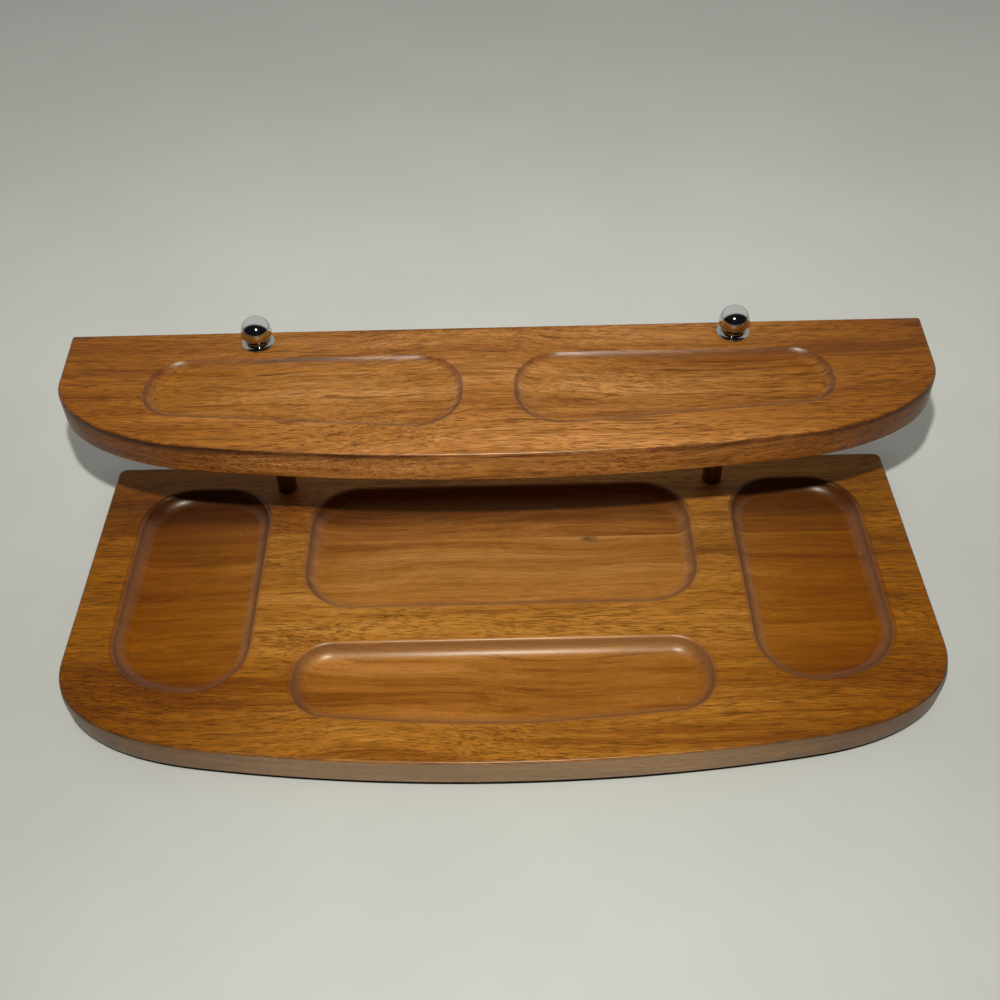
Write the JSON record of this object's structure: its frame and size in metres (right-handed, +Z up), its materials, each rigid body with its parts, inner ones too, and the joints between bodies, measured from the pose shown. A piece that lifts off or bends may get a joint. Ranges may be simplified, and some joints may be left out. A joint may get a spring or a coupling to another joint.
{
  "type": "dresser organizer",
  "caption": "Tiered wooden dresser organizer: a bow-fronted base with coved recesses, a raised shelf on slim posts, and chromed ball finials that unscrew.",
  "frame": {"origin": "on the surface that the organizer stands on, under the middle of its bounding box", "axes": "+X to the right along the length, +Y to the rear, +Z up; the bowed front faces -Y"},
  "size_m": [0.331, 0.1512, 0.1033],
  "materials": {
    "wood": "satin varnish over orange-brown hardwood, grain along the length",
    "post_wood": "satin varnish, darker",
    "chrome": "polished plating",
    "steel": "zinc plated",
    "felt": "thin black felt, glued on"
  },
  "bodies": {
    "stand": {"base_board": "wood", "upper_shelf": "wood", "left_post": "post_wood", "right_post": "post_wood", "left_stud": "steel", "right_stud": "steel", "left_base_screw": "steel", "right_base_screw": "steel", "base_felt": "felt"},
    "left_collar": {"left_collar": "chrome"},
    "left_finial": {"left_finial": "chrome"},
    "right_collar": {"right_collar": "chrome"},
    "right_finial": {"right_finial": "chrome"}
  },
  "joints": [
    {"name": "left_finial_turn", "type": "hinge", "parent": "stand", "child": "left_collar", "pos_m": [-0.09005, 0.0624, 0.0919], "axis": [0, 0, 1], "range_deg": [0, 2520]},
    {"name": "left_finial_climb", "type": "slide", "parent": "left_collar", "child": "left_finial", "axis": [0, 0, 1], "range_m": [0, 0.00557]},
    {"name": "right_finial_turn", "type": "hinge", "parent": "stand", "child": "right_collar", "pos_m": [0.09005, 0.0624, 0.0919], "axis": [0, 0, 1], "range_deg": [0, 2520]},
    {"name": "right_finial_climb", "type": "slide", "parent": "right_collar", "child": "right_finial", "axis": [0, 0, 1], "range_m": [0, 0.00557]}
  ],
  "couplings": [
    {"joint": "left_finial_climb", "follows": "left_finial_turn", "m_per_rad": 0.00012633},
    {"joint": "right_finial_climb", "follows": "right_finial_turn", "m_per_rad": 0.00012633}
  ]
}
